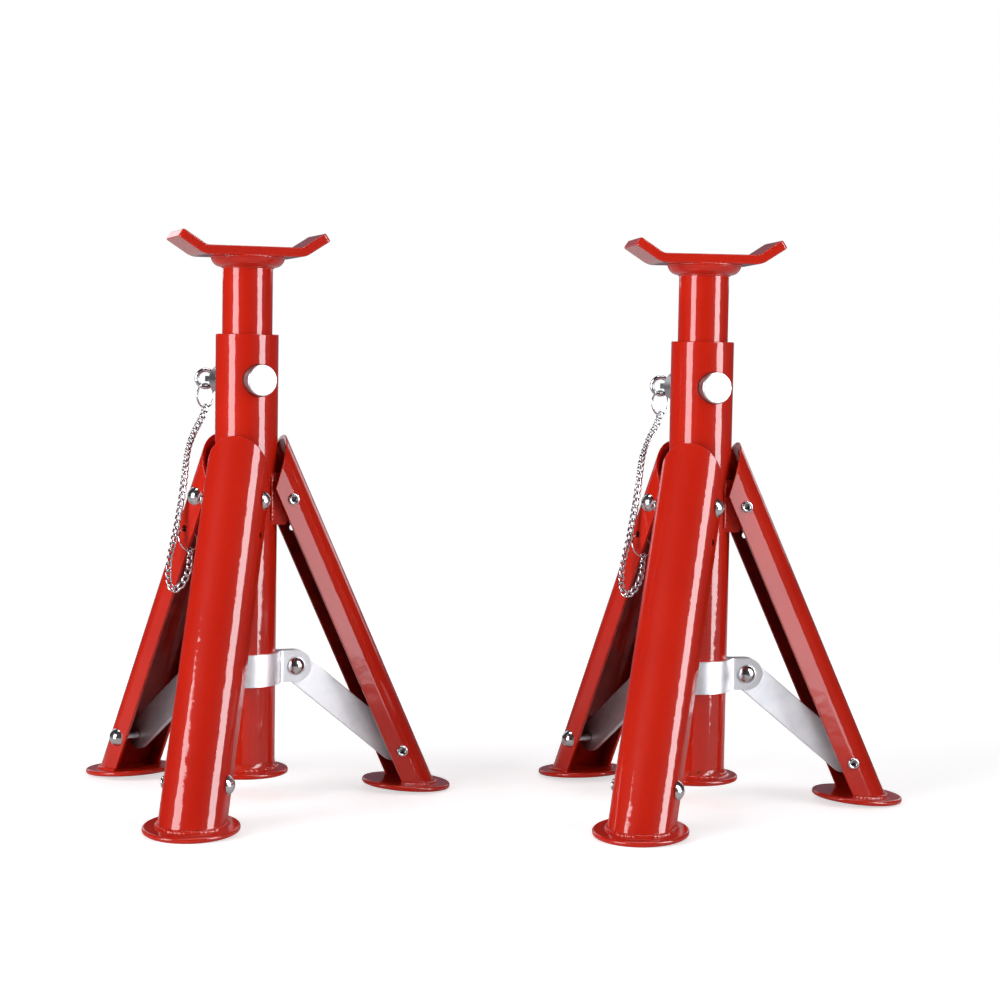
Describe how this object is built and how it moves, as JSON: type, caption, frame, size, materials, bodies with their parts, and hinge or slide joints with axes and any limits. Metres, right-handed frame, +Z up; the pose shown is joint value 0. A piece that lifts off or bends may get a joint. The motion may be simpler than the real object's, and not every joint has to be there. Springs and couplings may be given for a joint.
{
  "type": "axle jack stand pair",
  "caption": "Folding tripod axle stands: channel legs hinged on a tube column, a sliding collar with flat braces, and a saddle post held by a chained locking pin.",
  "frame": {"origin": "centre of the pair's bounding box at floor level", "axes": "+Z up; +X from the first stand to the second, along the pair; +Y away from the side that the locking pins' front ends face"},
  "size_m": [0.459, 0.215, 0.3059],
  "materials": {
    "red_gloss_paint": "high gloss red enamel on welded steel",
    "zinc_plated_strip": "bright zinc plating on rolled strip",
    "rivet_steel": "polished nickel-plated semi-tubular rivet",
    "bright_plated_steel": "bright plated bar, wire rings and chain"
  },
  "bodies": {
    "stand1_column": {"stand1_column_tube": "red_gloss_paint", "stand1_column_foot": "red_gloss_paint", "stand1_hinge_brackets": "red_gloss_paint", "stand1_hinge_rivets": "rivet_steel", "stand1_chain": "bright_plated_steel"},
    "stand1_leg_front": {"stand1_leg_front": "red_gloss_paint", "stand1_foot_front": "red_gloss_paint", "stand1_brace_rivet_front": "rivet_steel"},
    "stand1_brace_front": {"stand1_brace_front": "zinc_plated_strip"},
    "stand1_leg_right": {"stand1_leg_right": "red_gloss_paint", "stand1_foot_right": "red_gloss_paint", "stand1_brace_rivet_right": "rivet_steel"},
    "stand1_brace_right": {"stand1_brace_right": "zinc_plated_strip"},
    "stand1_leg_left": {"stand1_leg_left": "red_gloss_paint", "stand1_foot_left": "red_gloss_paint", "stand1_brace_rivet_left": "rivet_steel", "stand1_anchor_ring": "bright_plated_steel"},
    "stand1_brace_left": {"stand1_brace_left": "zinc_plated_strip"},
    "stand1_collar": {"stand1_collar_bands": "zinc_plated_strip", "stand1_collar_rivets": "rivet_steel"},
    "stand1_post": {"stand1_post_tube": "red_gloss_paint", "stand1_saddle_cup": "red_gloss_paint", "stand1_saddle_plate": "red_gloss_paint"},
    "stand1_pin": {"stand1_locking_pin": "bright_plated_steel", "stand1_pin_ring": "bright_plated_steel", "stand1_split_ring": "bright_plated_steel"},
    "stand2_column": {"stand2_column_tube": "red_gloss_paint", "stand2_column_foot": "red_gloss_paint", "stand2_hinge_brackets": "red_gloss_paint", "stand2_hinge_rivets": "rivet_steel", "stand2_chain": "bright_plated_steel"},
    "stand2_leg_front": {"stand2_leg_front": "red_gloss_paint", "stand2_foot_front": "red_gloss_paint", "stand2_brace_rivet_front": "rivet_steel"},
    "stand2_brace_front": {"stand2_brace_front": "zinc_plated_strip"},
    "stand2_leg_right": {"stand2_leg_right": "red_gloss_paint", "stand2_foot_right": "red_gloss_paint", "stand2_brace_rivet_right": "rivet_steel"},
    "stand2_brace_right": {"stand2_brace_right": "zinc_plated_strip"},
    "stand2_leg_left": {"stand2_leg_left": "red_gloss_paint", "stand2_foot_left": "red_gloss_paint", "stand2_brace_rivet_left": "rivet_steel", "stand2_anchor_ring": "bright_plated_steel"},
    "stand2_brace_left": {"stand2_brace_left": "zinc_plated_strip"},
    "stand2_collar": {"stand2_collar_bands": "zinc_plated_strip", "stand2_collar_rivets": "rivet_steel"},
    "stand2_post": {"stand2_post_tube": "red_gloss_paint", "stand2_saddle_cup": "red_gloss_paint", "stand2_saddle_plate": "red_gloss_paint"},
    "stand2_pin": {"stand2_locking_pin": "bright_plated_steel", "stand2_pin_ring": "bright_plated_steel", "stand2_split_ring": "bright_plated_steel"}
  },
  "joints": [
    {"name": "stand1_leg_front_fold", "type": "hinge", "parent": "stand1_column", "child": "stand1_leg_front", "pos_m": [-0.13699, -0.01278, 0.16356], "axis": [0.9851, -0.1719, 0], "range_deg": [0, 20.3]},
    {"name": "stand1_brace_front_fold", "type": "hinge", "parent": "stand1_leg_front", "child": "stand1_brace_front", "pos_m": [-0.14785, -0.07496, 0.02375], "axis": [0.9851, -0.1719, 0], "range_deg": [0, 26.33]},
    {"name": "stand1_leg_right_fold", "type": "hinge", "parent": "stand1_column", "child": "stand1_leg_right", "pos_m": [-0.11227, 0.01679, 0.16356], "axis": [-0.3437, 0.9391, 0], "range_deg": [0, 20.3]},
    {"name": "stand1_brace_right_fold", "type": "hinge", "parent": "stand1_leg_right", "child": "stand1_brace_right", "pos_m": [-0.05299, 0.03848, 0.02375], "axis": [-0.3437, 0.9391, 0], "range_deg": [0, 26.33]},
    {"name": "stand1_leg_left_fold", "type": "hinge", "parent": "stand1_column", "child": "stand1_leg_left", "pos_m": [-0.15024, 0.02342, 0.16356], "axis": [-0.6414, -0.7672, 0], "range_deg": [0, 20.3]},
    {"name": "stand1_brace_left_fold", "type": "hinge", "parent": "stand1_leg_left", "child": "stand1_brace_left", "pos_m": [-0.19867, 0.06391, 0.02375], "axis": [-0.6414, -0.7672, 0], "range_deg": [0, 26.33]},
    {"name": "stand1_collar_slide", "type": "slide", "parent": "stand1_column", "child": "stand1_collar", "axis": [0, 0, 1], "range_m": [0, 0.01356]},
    {"name": "stand1_post_slide", "type": "slide", "parent": "stand1_column", "child": "stand1_post", "axis": [0, 0, 1], "range_m": [0, 0.15]},
    {"name": "stand1_pin_pull", "type": "slide", "parent": "stand1_column", "child": "stand1_pin", "axis": [-0.5015, 0.8652, 0], "range_m": [0, 0.036]},
    {"name": "stand2_place", "type": "slide", "parent": "stand1_column", "child": "stand2_column", "axis": [1, 0, 0], "range_m": [0, 0.5]},
    {"name": "stand2_leg_front_fold", "type": "hinge", "parent": "stand2_column", "child": "stand2_leg_front", "pos_m": [0.10396, -0.01147, 0.16356], "axis": [0.9265, -0.3762, 0], "range_deg": [0, 20.3]},
    {"name": "stand2_brace_front_fold", "type": "hinge", "parent": "stand2_leg_front", "child": "stand2_brace_front", "pos_m": [0.08021, -0.06996, 0.02375], "axis": [0.9265, -0.3762, 0], "range_deg": [0, 26.33]},
    {"name": "stand2_leg_right_fold", "type": "hinge", "parent": "stand2_column", "child": "stand2_leg_right", "pos_m": [0.13437, 0.0122, 0.16356], "axis": [-0.1374, 0.9905, 0], "range_deg": [0, 20.3]},
    {"name": "stand2_brace_right_fold", "type": "hinge", "parent": "stand2_leg_right", "child": "stand2_brace_right", "pos_m": [0.1969, 0.02088, 0.02375], "axis": [-0.1374, 0.9905, 0], "range_deg": [0, 26.33]},
    {"name": "stand2_leg_left_fold", "type": "hinge", "parent": "stand2_column", "child": "stand2_leg_left", "pos_m": [0.09866, 0.0267, 0.16356], "axis": [-0.7891, -0.6143, 0], "range_deg": [0, 20.3]},
    {"name": "stand2_brace_left_fold", "type": "hinge", "parent": "stand2_leg_left", "child": "stand2_brace_left", "pos_m": [0.05989, 0.07651, 0.02375], "axis": [-0.7891, -0.6143, 0], "range_deg": [0, 26.33]},
    {"name": "stand2_collar_slide", "type": "slide", "parent": "stand2_column", "child": "stand2_collar", "axis": [0, 0, 1], "range_m": [0, 0.01356]},
    {"name": "stand2_post_slide", "type": "slide", "parent": "stand2_column", "child": "stand2_post", "axis": [0, 0, 1], "range_m": [0, 0.15]},
    {"name": "stand2_pin_pull", "type": "slide", "parent": "stand2_column", "child": "stand2_pin", "axis": [-0.3074, 0.9516, 0], "range_m": [0, 0.036]}
  ],
  "couplings": [
    {"joint": "stand1_brace_front_fold", "follows": "stand1_leg_front_fold", "ratio": 1.2966},
    {"joint": "stand1_leg_right_fold", "follows": "stand1_leg_front_fold", "ratio": 1},
    {"joint": "stand1_brace_right_fold", "follows": "stand1_leg_front_fold", "ratio": 1.2966},
    {"joint": "stand1_leg_left_fold", "follows": "stand1_leg_front_fold", "ratio": 1},
    {"joint": "stand1_brace_left_fold", "follows": "stand1_leg_front_fold", "ratio": 1.2966},
    {"joint": "stand1_collar_slide", "follows": "stand1_leg_front_fold", "m_per_rad": 0.038252},
    {"joint": "stand2_brace_front_fold", "follows": "stand2_leg_front_fold", "ratio": 1.2966},
    {"joint": "stand2_leg_right_fold", "follows": "stand2_leg_front_fold", "ratio": 1},
    {"joint": "stand2_brace_right_fold", "follows": "stand2_leg_front_fold", "ratio": 1.2966},
    {"joint": "stand2_leg_left_fold", "follows": "stand2_leg_front_fold", "ratio": 1},
    {"joint": "stand2_brace_left_fold", "follows": "stand2_leg_front_fold", "ratio": 1.2966},
    {"joint": "stand2_collar_slide", "follows": "stand2_leg_front_fold", "m_per_rad": 0.038252}
  ]
}
